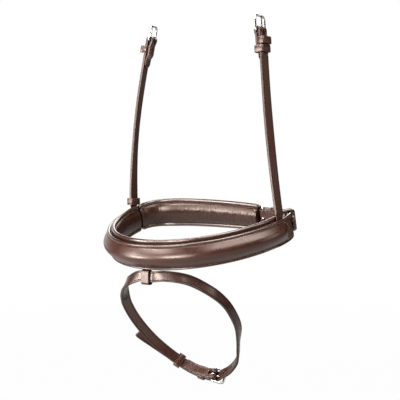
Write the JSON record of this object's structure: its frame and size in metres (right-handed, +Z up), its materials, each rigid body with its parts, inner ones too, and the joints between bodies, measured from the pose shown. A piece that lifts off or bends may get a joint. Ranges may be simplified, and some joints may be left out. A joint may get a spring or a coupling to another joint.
{
  "type": "flash noseband",
  "caption": "Padded, raised leather noseband with chin strap, chin pad, two buckled cheek straps and a flash strap hanging from a loop at the nose.",
  "frame": {"origin": "hang point midway between the bars of the two cheek buckles, where the bridle's headpiece holds the noseband up", "axes": "+X the horse's near (left) side, -Y the way the nose points, +Z up"},
  "size_m": [0.2379, 0.1688, 0.4359],
  "materials": {
    "nose_panel": "smooth, waxed",
    "nose_core": "felt",
    "nose_backing": "smooth, waxed",
    "nose_lining": "soft smooth",
    "chin_pad": "soft smooth",
    "chin_buckle_strap": "smooth, waxed",
    "chin_strap": "smooth, waxed",
    "chin_fixed_keeper": "smooth, waxed",
    "near_cheek_strap": "smooth, waxed",
    "near_cheek_fixed_keeper": "smooth, waxed",
    "off_cheek_strap": "smooth, waxed",
    "off_cheek_fixed_keeper": "smooth, waxed",
    "flash_loop": "smooth, waxed",
    "near_cheek_buckle_frame": "polished",
    "near_cheek_buckle_tongue": "polished",
    "near_cheek_runner_keeper": "smooth, waxed",
    "off_cheek_buckle_frame": "polished",
    "off_cheek_buckle_tongue": "polished",
    "off_cheek_runner_keeper": "smooth, waxed",
    "chin_buckle_frame": "polished",
    "chin_buckle_tongue": "polished",
    "chin_runner_keeper": "smooth, waxed",
    "flash_buckle_frame": "polished",
    "flash_buckle_tongue": "polished",
    "flash_runner_keeper": "smooth, waxed",
    "flash_strap": "smooth, waxed",
    "flash_fixed_keeper": "smooth, waxed"
  },
  "bodies": {
    "noseband": {"nose_panel": "nose_panel", "nose_core": "nose_core", "nose_backing": "nose_backing", "nose_lining": "nose_lining", "chin_pad": "chin_pad", "chin_buckle_strap": "chin_buckle_strap", "chin_strap": "chin_strap", "chin_fixed_keeper": "chin_fixed_keeper", "near_cheek_strap": "near_cheek_strap", "near_cheek_fixed_keeper": "near_cheek_fixed_keeper", "off_cheek_strap": "off_cheek_strap", "off_cheek_fixed_keeper": "off_cheek_fixed_keeper", "flash_loop": "flash_loop"},
    "near_cheek_buckle": {"near_cheek_buckle_frame": "near_cheek_buckle_frame"},
    "near_cheek_tongue": {"near_cheek_buckle_tongue": "near_cheek_buckle_tongue"},
    "near_cheek_runner": {"near_cheek_runner_keeper": "near_cheek_runner_keeper"},
    "off_cheek_buckle": {"off_cheek_buckle_frame": "off_cheek_buckle_frame"},
    "off_cheek_tongue": {"off_cheek_buckle_tongue": "off_cheek_buckle_tongue"},
    "off_cheek_runner": {"off_cheek_runner_keeper": "off_cheek_runner_keeper"},
    "chin_buckle": {"chin_buckle_frame": "chin_buckle_frame"},
    "chin_tongue": {"chin_buckle_tongue": "chin_buckle_tongue"},
    "chin_runner": {"chin_runner_keeper": "chin_runner_keeper"},
    "flash_buckle": {"flash_buckle_frame": "flash_buckle_frame"},
    "flash_tongue": {"flash_buckle_tongue": "flash_buckle_tongue"},
    "flash_runner": {"flash_runner_keeper": "flash_runner_keeper"},
    "flash": {"flash_strap": "flash_strap", "flash_fixed_keeper": "flash_fixed_keeper"}
  },
  "joints": [
    {"name": "near_cheek_buckle_turn", "type": "hinge", "parent": "noseband", "child": "near_cheek_buckle", "pos_m": [0.07944, 0.00037, -0.00034], "axis": [0.1218, 0.9921, -0.0308], "range_deg": [-60, 30]},
    {"name": "near_cheek_tongue_turn", "type": "hinge", "parent": "near_cheek_buckle", "child": "near_cheek_tongue", "pos_m": [0.07944, 0.00037, -0.00034], "axis": [0.1218, 0.9921, -0.0308], "range_deg": [0, 70]},
    {"name": "near_cheek_keeper_slide", "type": "slide", "parent": "noseband", "child": "near_cheek_runner", "axis": [0.1017, -0.0433, -0.9939], "range_m": [0, 0.06]},
    {"name": "off_cheek_buckle_turn", "type": "hinge", "parent": "noseband", "child": "off_cheek_buckle", "pos_m": [-0.07955, 0.00067, -0.00067], "axis": [0.2076, -0.9769, -0.0514], "range_deg": [-60, 30]},
    {"name": "off_cheek_tongue_turn", "type": "hinge", "parent": "off_cheek_buckle", "child": "off_cheek_tongue", "pos_m": [-0.07955, 0.00067, -0.00067], "axis": [0.2076, -0.9769, -0.0514], "range_deg": [0, 70]},
    {"name": "off_cheek_keeper_slide", "type": "slide", "parent": "noseband", "child": "off_cheek_runner", "axis": [-0.0091, -0.0051, 0.9999], "range_m": [0, 0.03]},
    {"name": "chin_buckle_turn", "type": "hinge", "parent": "noseband", "child": "chin_buckle", "pos_m": [0.06084, 0.03859, -0.21632], "axis": [0.0084, -0.2588, 0.9659], "range_deg": [-3, 4]},
    {"name": "chin_tongue_turn", "type": "hinge", "parent": "chin_buckle", "child": "chin_tongue", "pos_m": [0.06084, 0.03859, -0.21632], "axis": [-0.0084, 0.2588, -0.9659], "range_deg": [0, 5]},
    {"name": "chin_keeper_slide", "type": "slide", "parent": "noseband", "child": "chin_runner", "axis": [-0.7759, 0.6077, 0.1696], "range_m": [-0.0015, 0.0025]},
    {"name": "flash_swing", "type": "hinge", "parent": "noseband", "child": "flash", "pos_m": [-0.00261, -0.10398, -0.27647], "axis": [1, 0, 0], "range_deg": [-3, 9]},
    {"name": "flash_buckle_turn", "type": "hinge", "parent": "flash", "child": "flash_buckle", "pos_m": [0.00725, 0.01045, -0.40673], "axis": [-0.096, 0.5874, 0.8036], "range_deg": [-9, 1.5]},
    {"name": "flash_tongue_turn", "type": "hinge", "parent": "flash_buckle", "child": "flash_tongue", "pos_m": [0.00725, 0.01045, -0.40673], "axis": [-0.096, 0.5874, 0.8036], "range_deg": [0, 2.5]},
    {"name": "flash_keeper_slide", "type": "slide", "parent": "flash", "child": "flash_runner", "axis": [-0.7123, -0.4332, 0.5522], "range_m": [-0.003, 0.006]}
  ]
}
